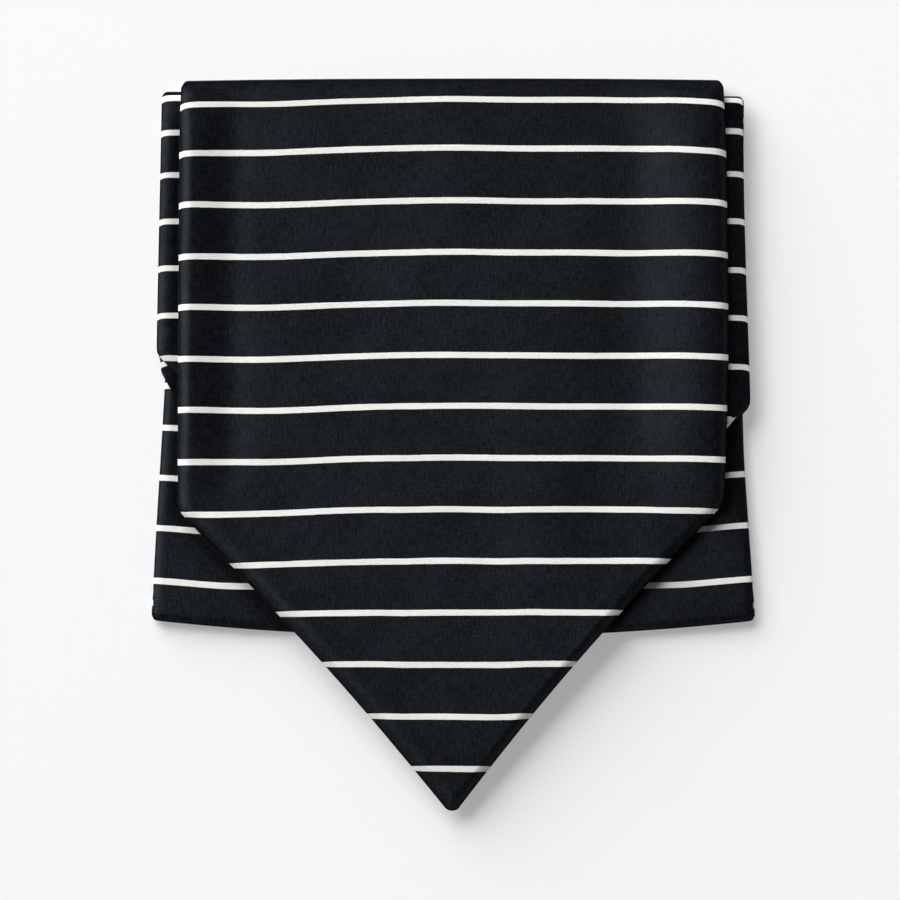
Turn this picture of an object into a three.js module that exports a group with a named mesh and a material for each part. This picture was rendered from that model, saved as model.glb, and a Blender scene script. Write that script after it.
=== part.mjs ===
import * as THREE from 'three';

// An ascot tie folded flat: a soft strip of two plies with a wide pointed blade at each end.
// Millimetres. +X is right and +Y is up as the front blade is looked at, +Z is up from the surface it lies on.
// The strip runs from the front blade's point up over the outer top fold, down the underside, round the
// bottom fold, up again, over the inner top fold and down the under blade to its own point.

// Cloth
const PLY = 1.0; // thickness of one ply
const PLY_GAP = 0.3; // air between the two plies of a layer
const LAYER_GAP = 0.5; // air between two layers of the packet
const EDGE_ROLL = 1.3; // width over which a ply thins towards its sewn edge
const EDGE_SHARE = 0.35; // share of the thickness left at that edge
const FACE_INSET = 0.25; // the face ply ends this far inside the back ply
const SEAM_Y = 30; // the two halves of the strip meet here, on the underside
const SEAM_GAP = 0.3; // gap between them

// Heights of the middle of each layer
const LAYER = 2 * PLY + PLY_GAP;
const PITCH = LAYER + LAYER_GAP;
const UNDERSIDE_Z = LAYER / 2;
const MIDDLE_Z = UNDERSIDE_Z + PITCH;
const UNDER_BLADE_Z = MIDDLE_Z + PITCH;
const FRONT_BLADE_Z = UNDER_BLADE_Z + PITCH;

// Side edges of each layer, a row for each section across it
const FRONT_BLADE_EDGES = [
  { y: 96, left: -74.7, right: 74.2 },
  { y: 88, left: -75.1, right: 74.7 },
  { y: 59, left: -75.3, right: 75.3 },
  { y: 26, left: -75.5, right: 75.6 },
  { y: -4, left: -75.6, right: 74.8 },
  { y: -20, left: -75.7, right: 74.3 },
];
const UNDER_BLADE_EDGES = [
  { y: 95, left: -79.8, right: 79.5 },
  { y: 67, left: -80.5, right: 79.8 },
  { y: 45, left: -81.1, right: 80.3 },
  { y: 26, left: -81.4, right: 81.0 },
  { y: 5, left: -81.5, right: 81.6 },
];
const MIDDLE_EDGES = [
  { y: 94, left: -79.8, right: 79.4 },
  { y: 50, left: -79.6, right: 79.4 },
  { y: 18, left: -79.0, right: 79.2 },
  { y: -4, left: -80.4, right: 79.7 },
  { y: -20, left: -81.4, right: 80.8 },
  { y: -40, left: -82.5, right: 82.3 },
];
const UNDERSIDE_EDGES = [
  { y: 95, left: -74.8, right: 74.3 },
  { y: 60, left: -75.8, right: 75.4 },
  { y: 20, left: -77.2, right: 77.0 },
  { y: -20, left: -79.8, right: 79.8 },
  { y: -38, left: -81.9, right: 82.0 },
  { y: -44, left: -82.8, right: 82.8 },
];

// Pointed ends: where the sides turn in, the point the two slanted edges aim at, how hollow each slanted
// edge is, and the radius that the point is rounded to
const FRONT_POINT = {
  leftY: -18.2, rightY: -16.3, tipX: -0.5, tipY: -101.85, hollowLeft: 2.3, hollowRight: 2.7, radius: 2.4,
};
const UNDER_POINT_BACK = {
  leftY: 24.9, rightY: 11.0, tipX: 5.4, tipY: -73.5, hollowLeft: 2, hollowRight: 2, radius: 2.4,
};
const UNDER_POINT_FACE = {
  leftY: 19.8, rightY: 10.0, tipX: 5.4, tipY: -73.5, hollowLeft: 2, hollowRight: 2, radius: 2.4,
};
const CORNER_BLEND = 1.2; // softens the corner between a side and a slanted edge

// Folds: outermost y on the middle line, the drop of the fold line at the sides and its power, its tilt,
// and how far the side edges pull in at the crease
const OUTER_TOP_FOLD = { y: 100.5, drop: 1.3, power: 2.5, tilt: 0, pull: 0.5, pullPower: 7 };
const INNER_TOP_FOLD = { y: 96.1, drop: 0, power: 1, tilt: -0.006, pull: 0.5, pullPower: 4 };
const BOTTOM_FOLD = { y: -51.9, drop: -4.0, power: 3.4, tilt: 0, pull: 0.3, pullPower: 6 };
const FOLD_HALF_WIDTH = 80; // x at which the drop is stated
const FOLD_STEPS = 8;

// Rise of the whole packet where the seam allowances pile up along both sides
const RIDGE_HEIGHT = 1.0; // at the top of the packet
const RIDGES = [
  { side: 'left', outer: -6, crest: 3.5, inner: 16 },
  { side: 'right', outer: -6, crest: 8, inner: 24 },
];
const RIDGE_SHARES = [
  { y: 100, share: 0.25 },
  { y: 80, share: 1 },
  { y: 0, share: 1 },
  { y: -35, share: 0.3 },
  { y: -100, share: 0 },
];

// The blades hang down a little past the bottom fold
const DROOP_START_Y = -50;
const DROOP_LENGTH = 50;
const DROOP = 3;

// Distances in from each side edge at which the columns of a ply lie, and the share of the half width left
// inside them at which the middle columns lie
const COLUMN_DEPTHS = [0, 1, 3.6, 9, 17];
const COLUMN_SPREAD = 1.15;
const MIDDLE_COLUMNS = [-0.62, 0, 0.62];

function rowValue(rows, y, name) {
  if (y >= rows[0].y) {
    return rows[0][name];
  }
  for (let i = 1; i < rows.length; i += 1) {
    const above = rows[i - 1];
    const below = rows[i];
    if (y >= below.y) {
      return THREE.MathUtils.mapLinear(y, above.y, below.y, above[name], below[name]);
    }
  }
  return rows[rows.length - 1][name];
}

// The larger of two numbers, with the corner between them softened
function softMax(a, b, blend) {
  return (a + b + Math.hypot(a - b, blend)) / 2;
}

// Side edges of a layer at y, drawn in to the point where it has one
function edgesAt(rows, point, y) {
  let left = rowValue(rows, y, 'left');
  let right = rowValue(rows, y, 'right');
  if (!point) {
    return { left, right };
  }
  const slant = (cornerY, sideX, hollow, inward) => {
    const t = (cornerY - y) / (cornerY - point.tipY);
    const bend = t > 0 && t < 1 ? hollow * Math.sin(Math.PI * t) : 0;
    return sideX + (point.tipX - sideX) * t + inward * bend;
  };
  const cornerLeft = rowValue(rows, point.leftY, 'left');
  const cornerRight = rowValue(rows, point.rightY, 'right');
  left = softMax(left, slant(point.leftY, cornerLeft, point.hollowLeft, 1), CORNER_BLEND);
  right = -softMax(-right, -slant(point.rightY, cornerRight, point.hollowRight, -1), CORNER_BLEND);
  const tip = tipCircle(point);
  if (y < tip.tangentY) {
    const half = Math.sqrt(Math.max(point.radius ** 2 - (y - tip.centreY) ** 2, 0));
    return { left: point.tipX - half, right: point.tipX + half };
  }
  return { left, right };
}

// The circle that rounds a point
function tipCircle(point) {
  const spread = 75 / (0.5 * (point.leftY + point.rightY) - point.tipY);
  const halfAngle = Math.atan(spread * 0.93);
  const centreY = point.tipY + point.radius / Math.sin(halfAngle);
  return {
    centreY,
    tangentY: centreY - point.radius * Math.sin(halfAngle),
    lowY: centreY - point.radius,
  };
}

// How far the fold line lies from its middle at x
function foldShift(fold, x) {
  return fold.tilt * x - fold.drop * (Math.abs(x) / FOLD_HALF_WIDTH) ** fold.power;
}

// A flat run of a layer, as stations along the strip's middle surface. normalZ is 1 where the face is up.
function run({ ys, z, normalZ, edges, point, shifts }) {
  return ys.map((y) => ({
    y, z, normalY: 0, normalZ, edges, point, pull: 0, shifts: shifts(y),
  }));
}

// A fold from one layer to the next one that it carries, turning up and over. outward is 1 at the top folds
// and -1 at the bottom fold, faceOut is 1 where the face ply is on the outside of the fold.
function turn({ fold, lowZ, highZ, outward, faceOut, outerRadius, low, high }) {
  const radius = (highZ - lowZ) / 2;
  const centreY = fold.y - outward * outerRadius;
  const centreZ = (highZ + lowZ) / 2;
  const stations = [];
  for (let i = 0; i <= FOLD_STEPS; i += 1) {
    const angle = (Math.PI * i) / FOLD_STEPS;
    const across = Math.sin(angle);
    const up = -Math.cos(angle);
    stations.push({
      y: centreY + outward * radius * across,
      z: centreZ + radius * up,
      normalY: faceOut * outward * across,
      normalZ: faceOut * up,
      edges: i * 2 < FOLD_STEPS ? low : high,
      point: null,
      pull: fold.pull * across ** fold.pullPower,
      shifts: [{ fold, share: 1 }],
    });
  }
  return stations;
}

// Height of the seam ridges at a place, as a share of the full ridge
function ridgeShare(x, y) {
  const blade = edgesAt(FRONT_BLADE_EDGES, FRONT_POINT, Math.max(y, FRONT_POINT.tipY + 4));
  let share = 0;
  for (const ridge of RIDGES) {
    const depth = ridge.side === 'left' ? x - blade.left : blade.right - x;
    const rise = THREE.MathUtils.smoothstep(depth, ridge.outer, ridge.crest);
    const fall = 1 - THREE.MathUtils.smoothstep(depth, ridge.crest, ridge.inner);
    share = Math.max(share, rise * fall);
  }
  return share * rowValue(RIDGE_SHARES, y, 'share');
}

// The packet's settled shape: ridges along the sides and the blades' droop past the bottom fold
function settle(point) {
  const topZ = FRONT_BLADE_Z + LAYER / 2;
  const rise = (point.z / topZ) * RIDGE_HEIGHT * ridgeShare(point.x, point.y);
  const past = Math.max(DROOP_START_Y - point.y, 0) / DROOP_LENGTH;
  const hang = point.z > MIDDLE_Z + LAYER / 2 ? DROOP * past ** 2 : 0;
  point.z += rise - hang;
  return point;
}

// Where the columns of a ply cross one station
function columns(left, right, lean) {
  const half = (right - left) / 2;
  const deepest = COLUMN_DEPTHS[COLUMN_DEPTHS.length - 1] * lean * COLUMN_SPREAD;
  const squeeze = Math.min(1, half / deepest);
  const depths = COLUMN_DEPTHS.map((depth) => ({ depth, offset: depth * lean * squeeze }));
  const inner = half - depths[depths.length - 1].offset;
  return [
    ...depths.map(({ depth, offset }) => ({ x: left + offset, depth })),
    ...MIDDLE_COLUMNS.map((part) => ({ x: (left + right) / 2 + part * inner, depth: half })),
    ...depths.reverse().map(({ depth, offset }) => ({ x: right - offset, depth })),
  ];
}

// Share of a ply's thickness at a distance in from its edge
function thicknessShare(depth) {
  const inside = Math.min(depth / EDGE_ROLL, 1);
  return Math.max(EDGE_SHARE, Math.sqrt(1 - (1 - inside) ** 2));
}

// One ply as a closed solid. side is 1 for the face ply and -1 for the back ply.
function plyGeometry(stations, side, inset) {
  const positions = [];
  const rows = stations.map((station) => {
    const shiftAt = (x) => station.shifts.reduce((sum, { fold, share }) => sum + share * foldShift(fold, x), 0);
    const sideY = station.y + shiftAt(FOLD_HALF_WIDTH);
    const here = edgesAt(station.edges, station.point, sideY);
    const below = edgesAt(station.edges, station.point, sideY - 1);
    const slope = station.point ? Math.abs(below.left - here.left) : 0;
    const lean = Math.min(Math.hypot(1, slope), 1.6);
    const draw = Math.min(inset * lean, (here.right - here.left) / 4);
    const line = columns(here.left + station.pull + draw, here.right - station.pull - draw, lean);
    return line.map(({ x, depth }) => {
      const near = side * PLY_GAP / 2;
      const far = near + side * PLY * thicknessShare(depth);
      return [far, near].map((offset) => {
        const point = settle(new THREE.Vector3(
          x,
          station.y + shiftAt(x) + offset * station.normalY,
          station.z + offset * station.normalZ,
        ));
        positions.push(point.x, point.y, point.z);
        return positions.length / 3 - 1;
      });
    });
  });
  const indices = [];
  const quad = (a, b, c, d) => indices.push(a, b, c, a, c, d);
  const last = rows[0].length - 1;
  for (let i = 1; i < rows.length; i += 1) {
    const before = rows[i - 1];
    const after = rows[i];
    for (let j = 0; j < last; j += 1) {
      quad(before[j][0], before[j + 1][0], after[j + 1][0], after[j][0]);
      quad(before[j][1], after[j][1], after[j + 1][1], before[j + 1][1]);
    }
    quad(before[0][0], after[0][0], after[0][1], before[0][1]);
    quad(before[last][0], before[last][1], after[last][1], after[last][0]);
  }
  const start = rows[0];
  const end = rows[rows.length - 1];
  for (let j = 0; j < last; j += 1) {
    quad(start[j][0], start[j][1], start[j + 1][1], start[j + 1][0]);
    quad(end[j][0], end[j + 1][0], end[j + 1][1], end[j][1]);
  }
  const geometry = new THREE.BufferGeometry();
  geometry.setAttribute('position', new THREE.Float32BufferAttribute(positions, 3));
  geometry.setIndex(facingOut(positions, indices));
  geometry.computeVertexNormals();
  return geometry;
}

// Turns every triangle over if the closed surface faces in
function facingOut(positions, indices) {
  const corner = (k) => new THREE.Vector3().fromArray(positions, indices[k] * 3);
  let volume = 0;
  for (let k = 0; k < indices.length; k += 3) {
    volume += corner(k).dot(corner(k + 1).cross(corner(k + 2)));
  }
  if (volume > 0) {
    return indices;
  }
  return indices.map((value, k) => indices[k % 3 === 0 ? k : k + (k % 3 === 1 ? 1 : -1)]);
}

// Shares of two folds' shifts along a run between them
function between(first, second) {
  return (y) => {
    const part = THREE.MathUtils.clamp(THREE.MathUtils.mapLinear(y, first.y, second.y, 0, 1), 0, 1);
    return [{ fold: first, share: 1 - part }, { fold: second, share: part }];
  };
}

// Share of one fold's shift, gone at the given distance from it
function fading(fold, reach) {
  return (y) => [{ fold, share: THREE.MathUtils.clamp(1 - Math.abs(fold.y - y) / reach, 0, 1) }];
}

// Last rows of a pointed end, closing round its tip
function tipRows(point) {
  const { centreY, tangentY, lowY } = tipCircle(point);
  return [centreY, tangentY, lowY + 0.45, lowY + 0.12];
}

function frontStations(point) {
  const outerRadius = (FRONT_BLADE_Z - UNDERSIDE_Z + LAYER) / 2;
  return [
    ...run({
      ys: [SEAM_Y + SEAM_GAP / 2, 60, 85],
      z: UNDERSIDE_Z,
      normalZ: -1,
      edges: UNDERSIDE_EDGES,
      point: null,
      shifts: between(OUTER_TOP_FOLD, BOTTOM_FOLD),
    }),
    ...turn({
      fold: OUTER_TOP_FOLD,
      lowZ: UNDERSIDE_Z,
      highZ: FRONT_BLADE_Z,
      outward: 1,
      faceOut: 1,
      outerRadius,
      low: UNDERSIDE_EDGES,
      high: FRONT_BLADE_EDGES,
    }),
    ...run({
      ys: [88, 76, 59, 26, 0, -12, -16, -19, -24, -36, -48, -60, -72, -84, -93, ...tipRows(point)],
      z: FRONT_BLADE_Z,
      normalZ: 1,
      edges: FRONT_BLADE_EDGES,
      point,
      shifts: fading(OUTER_TOP_FOLD, 60),
    }),
  ];
}

function rearStations(point) {
  const outerRadius = (PITCH + LAYER) / 2;
  return [
    ...run({
      ys: [SEAM_Y - SEAM_GAP / 2, 0, -25, -38, -44],
      z: UNDERSIDE_Z,
      normalZ: -1,
      edges: UNDERSIDE_EDGES,
      point: null,
      shifts: between(OUTER_TOP_FOLD, BOTTOM_FOLD),
    }),
    ...turn({
      fold: BOTTOM_FOLD,
      lowZ: UNDERSIDE_Z,
      highZ: MIDDLE_Z,
      outward: -1,
      faceOut: 1,
      outerRadius,
      low: UNDERSIDE_EDGES,
      high: MIDDLE_EDGES,
    }),
    ...run({
      ys: [-44, -34, -20, -4, 18, 50, 80],
      z: MIDDLE_Z,
      normalZ: 1,
      edges: MIDDLE_EDGES,
      point: null,
      shifts: between(BOTTOM_FOLD, INNER_TOP_FOLD),
    }),
    ...turn({
      fold: INNER_TOP_FOLD,
      lowZ: MIDDLE_Z,
      highZ: UNDER_BLADE_Z,
      outward: 1,
      faceOut: -1,
      outerRadius,
      low: MIDDLE_EDGES,
      high: UNDER_BLADE_EDGES,
    }),
    ...run({
      ys: [84, 67, 45, 30, 26, 22, 17, 12, 7, -8, -22, -36, -50, -60, -66, ...tipRows(point)],
      z: UNDER_BLADE_Z,
      normalZ: -1,
      edges: UNDER_BLADE_EDGES,
      point,
      shifts: fading(INNER_TOP_FOLD, 60),
    }),
  ];
}

const material = (color, roughness) => new THREE.MeshStandardMaterial({ color, roughness, metalness: 0 });
const FACE_SILK = { color: 0x1c1f24, roughness: 0.55 };
const BACK_SILK = { color: 0x191c21, roughness: 0.6 };

const PLIES = [
  { name: 'front_blade_face', stations: frontStations(FRONT_POINT), side: 1, inset: FACE_INSET, silk: FACE_SILK },
  { name: 'front_blade_back', stations: frontStations(FRONT_POINT), side: -1, inset: 0, silk: BACK_SILK },
  { name: 'rear_blade_face', stations: rearStations(UNDER_POINT_FACE), side: 1, inset: FACE_INSET, silk: FACE_SILK },
  { name: 'rear_blade_back', stations: rearStations(UNDER_POINT_BACK), side: -1, inset: 0, silk: BACK_SILK },
];

const ascot = new THREE.Group();
for (const { name, stations, side, inset, silk } of PLIES) {
  const mesh = new THREE.Mesh(plyGeometry(stations, side, inset), material(silk.color, silk.roughness));
  mesh.name = name;
  ascot.add(mesh);
}

// The origin is at the middle of the packet's box, on the surface it lies on
const box = new THREE.Box3().setFromObject(ascot);
const middle = box.getCenter(new THREE.Vector3());
ascot.position.set(-middle.x, -middle.y, -box.min.z);
ascot.updateMatrixWorld(true);

export default ascot;
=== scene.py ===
import math

import bpy
import numpy as np
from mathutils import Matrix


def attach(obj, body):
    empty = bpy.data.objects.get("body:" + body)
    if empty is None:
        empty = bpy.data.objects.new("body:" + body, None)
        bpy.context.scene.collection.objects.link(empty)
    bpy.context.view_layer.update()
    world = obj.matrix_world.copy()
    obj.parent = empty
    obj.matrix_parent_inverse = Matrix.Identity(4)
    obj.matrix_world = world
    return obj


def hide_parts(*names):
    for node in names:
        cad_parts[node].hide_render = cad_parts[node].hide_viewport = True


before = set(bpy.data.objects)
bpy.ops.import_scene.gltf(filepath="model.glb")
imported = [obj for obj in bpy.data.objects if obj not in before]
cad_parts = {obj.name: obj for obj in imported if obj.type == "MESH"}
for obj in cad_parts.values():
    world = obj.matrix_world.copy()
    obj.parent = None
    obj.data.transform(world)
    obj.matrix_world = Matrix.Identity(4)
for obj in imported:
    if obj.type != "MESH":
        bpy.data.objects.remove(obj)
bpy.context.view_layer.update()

MM = 0.001
# The tables below are in millimetres in the strip's own frame, which sits this far from the part's origin.
FRAME_SHIFT_Y = -0.071

# Cloth, as the frame has it
PLY = 1.0
PLY_GAP = 0.3
LAYER_GAP = 0.5
EDGE_ROLL = 3.0
EDGE_SHARE = 0.1
FACE_INSET = 0.12
SEAM_Y = 30.0
LAYER = 2 * PLY + PLY_GAP
PITCH = LAYER + LAYER_GAP
UNDERSIDE_Z = LAYER / 2
MIDDLE_Z = UNDERSIDE_Z + PITCH
UNDER_BLADE_Z = MIDDLE_Z + PITCH
FRONT_BLADE_Z = UNDER_BLADE_Z + PITCH
TOP_Z = FRONT_BLADE_Z + LAYER / 2

# Side edges of each layer: y, left, right
FRONT_BLADE_EDGES = [
    (96, -74.7, 74.2), (88, -75.1, 74.7), (59, -75.3, 75.3),
    (26, -75.5, 75.6), (-4, -75.6, 74.8), (-20, -75.7, 74.3),
]
UNDER_BLADE_EDGES = [
    (95, -80.0, 79.6), (67, -80.6, 79.9), (45, -81.1, 80.5), (26, -81.5, 81.2), (5, -81.6, 81.9),
]
MIDDLE_EDGES = [
    (94, -79.8, 79.9), (50, -79.6, 79.5), (18, -79.1, 79.3),
    (-4, -80.4, 79.9), (-20, -81.4, 81.0), (-40, -82.5, 82.4),
]
UNDERSIDE_EDGES = [
    (95, -74.8, 74.3), (60, -75.8, 75.4), (20, -77.2, 77.0),
    (-20, -79.8, 79.8), (-38, -82.2, 82.2), (-46, -83.0, 83.0),
]

# Pointed ends: y of the two corners, place of the point, how far its slanted sides bow in, the tip's radius, how
# softly the corners turn, and how far the left corner swells out
FRONT_POINT = {
    "left_y": -18.2, "right_y": -16.3, "x": -0.3, "y": -102.2,
    "hollow": (2.25, 2.65), "radius": 2.7, "blend": 1.2, "swell": 0.0,
}
UNDER_POINT_BACK = {
    "left_y": 24.9, "right_y": 10.9, "x": 5.4, "y": -73.5,
    "hollow": (2.0, 2.0), "radius": 2.4, "blend": 0.5, "swell": 0.0,
}
UNDER_POINT_FACE = {
    "left_y": 19.8, "right_y": 10.3, "x": 5.4, "y": -73.5,
    "hollow": (2.0, 2.0), "radius": 2.4, "blend": 0.6, "swell": 12.0,
}
SWELL_END = (0.1, 0.45)  # shares of the slanted side over which the swell dies out
MEAN_HALF_WIDTH = 75.0  # half the width at which a point starts
TIP_SPREAD = 0.93  # the tip's own spread against the whole point's
FACE_TUCK = 1.0  # how far the face ply is drawn in at the under blade's left corner
FACE_TUCK_Y = (22.0, 27.0)

# Folds: y at the middle, how far its ends drop and by what power, slope, how far the sides are pulled in and by what
# power, and how square its round is (2 is a half circle)
OUTER_TOP_FOLD = {
    "y": 100.5, "drop": 0.7, "power": 2.5, "tilt": 0.0015, "pull": 0.5, "pull_power": 7, "squareness": 3.2,
}
INNER_TOP_FOLD = {
    "y": 96.25, "drop": 0.0, "power": 1.0, "tilt": -0.008, "pull": 0.4, "pull_power": 5, "squareness": 2.0,
}
BOTTOM_FOLD = {
    "y": -52.95, "drop": -4.24, "power": 2.0, "tilt": -0.001, "pull": 0.2, "pull_power": 6, "squareness": 2.0,
}
FOLD_HALF_WIDTH = 80.0
FOLD_STEPS = 26
FOLD_REACH = 60.0  # how far down a blade its fold's shape still shows

# Middle of each fold, as y of its axis
OUTER_AXIS_Y = OUTER_TOP_FOLD["y"] - (FRONT_BLADE_Z - UNDERSIDE_Z + LAYER) / 2
INNER_AXIS_Y = INNER_TOP_FOLD["y"] - (PITCH + LAYER) / 2
BOTTOM_AXIS_Y = BOTTOM_FOLD["y"] + (PITCH + LAYER) / 2

# Seam ridges along the sides, and the droop past the bottom fold
RIDGE_HEIGHT = 1.85
RIDGE_SHARES = [(-100, 0.0), (-35, 0.25), (-15, 0.55), (5, 1.0), (84, 1.0), (100, 0.25)]  # y, share of the height
LEFT_RIDGE = {"foot": -13.0, "crest": 3.2, "fall": 13.5, "fulness": 1.1}  # measured in from the side
RIGHT_RIDGE = {"foot": -6.0, "crest": 8.2, "end": 25.5, "share": 0.86, "lost_at_point": 0.8}
DROOP_START_Y = -50.0
DROOP_LENGTH = 50.0
DROOP = 3.0

# Woven stripes
STRIPE_PITCH = 14.17
FRONT_STRIPES = [  # where each crosses the middle of the front blade
    94.7, 81.4, 67.0, 52.85, 38.85, 24.65, 10.65, -3.6, -17.75, -31.95, -46.15, -60.4, -74.75, -89.1,
]
FRONT_BOW = [  # x, how far below its middle a stripe lies there
    (-75.5, 1.2), (-72, 1.05), (-64, 1.4), (-53, 1.55), (-42, 1.15), (-28, 0.55), (-14, 0.17), (0, 0.0),
    (13, 0.15), (27, 0.3), (40, 0.25), (51, 0.4), (62, 0.25), (68, 0.35), (72, 0.5), (75.5, 0.85),
]
UNDER_BLADE_STRIPES = [  # y at the left edge and at the right edge
    (95.0, 94.5), (85.6, 86.1), (73.97, 74.27), (61.2, 61.3),
    (48.37, 47.85), (35.35, 34.72), (23.7, 21.3), (10.7, 6.8),
]
MIDDLE_STRIPES = [
    (88.7, 89.0), (74.2, 75.2), (59.7, 61.3), (45.1, 47.4), (30.6, 33.5), (16.1, 21.5), (4.7, 9.4),
    (-9.05, -8.1), (-22.85, -22.1), (-37.35, -36.9),
]
# Distance in from the edge, how far below its place at the edge a stripe lies there
MIDDLE_BOW = [(0, 0.0), (8.5, 0.68), (12.5, 1.12), (20.0, 1.68), (80, 2.5)]
STRIPE_TABLE_HALF = 80.0  # the left and right values of the two tables above stand at this x

# Further bends of the front blade's stripes
FRONT_BOW_SHARES = [(-90, 0.0), (-60, 0.3), (-30, 0.95), (100, 1.0)]  # y, share of FRONT_BOW that shows there
FRONT_RIM_BOW = [(-10, 0.0), (25, 0.2), (70, 0.7), (95, 1.1)]  # y, how far a stripe drops at the very rim
FRONT_RIM_REACH = 1.3
UPPER_SIDE_BOW, LOWER_LEFT_BOW, LOWER_FLANK_BOW = 0.3, 0.4, -0.22

# Further bends of the under blade's stripes
UNDER_RIM_BOW, UNDER_RIM_REACH = 0.6, 0.8
HOOKS = [(1.6, 0.2, 1.4), (3.0, 0.1, 0.6)]  # at the right corner: drop, and over what distances from it that fades
SLANT_SHARE = 0.72  # distance square to the right slanted side for each millimetre of x
LOBE_BOW, LOBE_REACH, LOBE_Y = 1.2, 2.2, 20.0  # at the left corner, on the face ply
# How far the face ply's stripes lie below the back ply's at the under blade's left edge
FACE_STRIPE_LAG = 0.8

# How many stripes lie round each fold
OUTER_TURN = math.pi * (FRONT_BLADE_Z - UNDERSIDE_Z + LAYER) / 2 / STRIPE_PITCH
BOTTOM_TURN = 0.25

SAMPLE_Y = np.arange(-112.0, 112.0, 0.5)
SAMPLE_X = np.arange(-90.0, 90.5, 0.5)


def smoothstep(value, low, high):
    t = np.clip((value - low) / (high - low), 0, 1)
    return t * t * (3 - 2 * t)


def smooth_curve(samples, places, values, sigma):
    """A short table as a smooth curve over evenly spaced samples."""
    step = samples[1] - samples[0]
    reach = int(round(3 * sigma / step))
    kernel = np.exp(-0.5 * (np.arange(-reach, reach + 1) * step / sigma) ** 2)
    curve = np.interp(samples, places, values)
    return np.convolve(np.pad(curve, reach, mode="edge"), kernel / kernel.sum(), mode="valid")


def softened(rows):
    """A table of y, left, right as smooth curves over SAMPLE_Y."""
    rows = sorted(rows)
    ys = [r[0] for r in rows]
    return [smooth_curve(SAMPLE_Y, ys, [r[column] for r in rows], 3.0) for column in (1, 2)]


CURVES = {
    "front": softened(FRONT_BLADE_EDGES),
    "under": softened(UNDER_BLADE_EDGES),
    "middle": softened(MIDDLE_EDGES),
    "underside": softened(UNDERSIDE_EDGES),
}


def soft_max(a, b, blend):
    return (a + b + np.hypot(a - b, blend)) / 2


def tip_circle(point):
    """The round of a tip, as y of its centre, of where it meets the slanted sides and of its lowest place."""
    spread = MEAN_HALF_WIDTH / (0.5 * (point["left_y"] + point["right_y"]) - point["y"])
    half_angle = math.atan(spread * TIP_SPREAD)
    centre = point["y"] + point["radius"] / math.sin(half_angle)
    return centre, centre - point["radius"] * math.sin(half_angle), centre - point["radius"]


def edges_at(layer, point, y):
    """Left and right edges of a layer at y."""
    left_curve, right_curve = CURVES[layer]
    left, right = np.interp(y, SAMPLE_Y, left_curve), np.interp(y, SAMPLE_Y, right_curve)
    if point is None:
        return left, right

    def slant(corner_y, side_x, hollow, inward):
        t = (corner_y - y) / (corner_y - point["y"])
        if inward > 0:
            hollow = hollow - point["swell"] * (1 - smoothstep(t, *SWELL_END))
        bend = np.where((t > 0) & (t < 1), hollow * np.sin(np.pi * t), 0)
        return side_x + (point["x"] - side_x) * t + inward * bend

    corner_left = np.interp(point["left_y"], SAMPLE_Y, left_curve)
    corner_right = np.interp(point["right_y"], SAMPLE_Y, right_curve)
    blend = point["blend"]
    left = soft_max(left, slant(point["left_y"], corner_left, point["hollow"][0], 1), blend)
    right = -soft_max(-right, -slant(point["right_y"], corner_right, point["hollow"][1], -1), blend)
    centre, tangent, _ = tip_circle(point)
    half = np.sqrt(np.maximum(point["radius"] ** 2 - (y - centre) ** 2, 0))
    left = np.where(y < tangent, point["x"] - half, left)
    right = np.where(y < tangent, point["x"] + half, right)
    return left, right


def fold_shift(fold, x):
    return fold["tilt"] * x - fold["drop"] * (np.abs(x) / FOLD_HALF_WIDTH) ** fold["power"]


def soft_noise(x, y, size, seed, waves=10):
    """A smooth field of about unit size made of a few crossing waves."""
    rng = np.random.default_rng(seed)
    total = np.zeros(np.broadcast(x, y).shape)
    for _ in range(waves):
        angle = rng.uniform(0, 2 * math.pi)
        length = size * rng.uniform(0.7, 1.6)
        phase = rng.uniform(0, 2 * math.pi)
        total = total + np.sin(2 * math.pi * (x * math.cos(angle) + y * math.sin(angle)) / length + phase)
    return total / math.sqrt(waves / 2)


def by_table(value, rows):
    """A value read off a short table of two columns."""
    return np.interp(value, [r[0] for r in rows], [r[1] for r in rows])


def front_sides(y):
    """Sides of the front blade at y. Those of its last 4 mm stay as they are where these begin."""
    return edges_at("front", FRONT_POINT, np.maximum(y, FRONT_POINT["y"] + 4))


def along_point(y):
    """0 beside the front blade's straight sides, 1 beside its point."""
    return 1 - smoothstep(y, -26.0, -14.0)


def ridge_share(x, y):
    """The seam ridges of the packet, 1 on the left one's crest."""
    left, right = front_sides(y)
    in_left, in_right = x - left, right - x
    near_left = smoothstep(in_left, LEFT_RIDGE["foot"], LEFT_RIDGE["crest"])
    t = np.clip((in_left - LEFT_RIDGE["crest"]) / LEFT_RIDGE["fall"], 0, 1)
    fall_left = (1 - t) ** 2 * (1 + LEFT_RIDGE["fulness"] * t)
    near_right = smoothstep(in_right, RIGHT_RIDGE["foot"], RIGHT_RIDGE["crest"])
    fall_right = (1 - smoothstep(in_right, RIGHT_RIDGE["crest"], RIGHT_RIDGE["end"])) * RIGHT_RIDGE["share"]
    fall_right = fall_right * (1 - RIGHT_RIDGE["lost_at_point"] * along_point(y))
    return np.maximum(near_left * fall_left, near_right * fall_right) * by_table(y, RIDGE_SHARES)


def crease(x, y, start, end, width, height):
    """A soft ridge, or a valley for a negative height, along a line, fading at its ends."""
    ax, ay = start
    bx, by = end
    length = math.hypot(bx - ax, by - ay)
    ux, uy = (bx - ax) / length, (by - ay) / length
    along = (x - ax) * ux + (y - ay) * uy
    across = (x - ax) * -uy + (y - ay) * ux
    fade_in = smoothstep(along, -0.15 * length, 0.2 * length)
    fade_out = 1 - smoothstep(along, 0.8 * length, 1.15 * length)
    return height * fade_in * fade_out * np.exp(-0.5 * (across / width) ** 2)


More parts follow.
